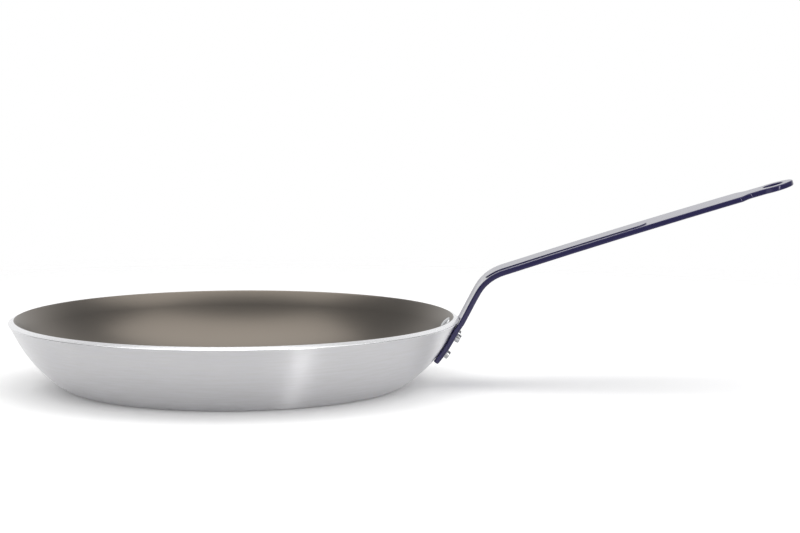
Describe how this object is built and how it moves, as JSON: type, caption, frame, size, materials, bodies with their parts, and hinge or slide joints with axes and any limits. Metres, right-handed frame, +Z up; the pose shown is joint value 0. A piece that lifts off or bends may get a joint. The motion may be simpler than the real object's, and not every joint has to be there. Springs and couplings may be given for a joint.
{
  "type": "omelette pan",
  "caption": "Shallow non-stick aluminium omelette pan with sloping sides and a riveted, coated steel strip handle that ends in a hanging eye.",
  "frame": {"origin": "centre of the underside of the base, on the pan's axis", "axes": "+X along the handle, from the pan's axis towards the hanging eye; +Z up, out of the pan's mouth; +Y completes the right-handed set"},
  "size_m": [0.5554, 0.32, 0.1465],
  "materials": {
    "bare_aluminium": "spun and brushed, satin",
    "nonstick_coat": "sprayed and baked fluoropolymer, low sheen",
    "coated_steel": "glossy epoxy powder coat over steel strip",
    "rivet_aluminium": "cold-headed, satin"
  },
  "bodies": {
    "root": {"pan_body": "bare_aluminium", "nonstick_coating": "nonstick_coat", "handle_strip": "coated_steel", "rivet_upper_left": "rivet_aluminium", "rivet_upper_right": "rivet_aluminium", "rivet_lower": "rivet_aluminium"}
  },
  "joints": []
}
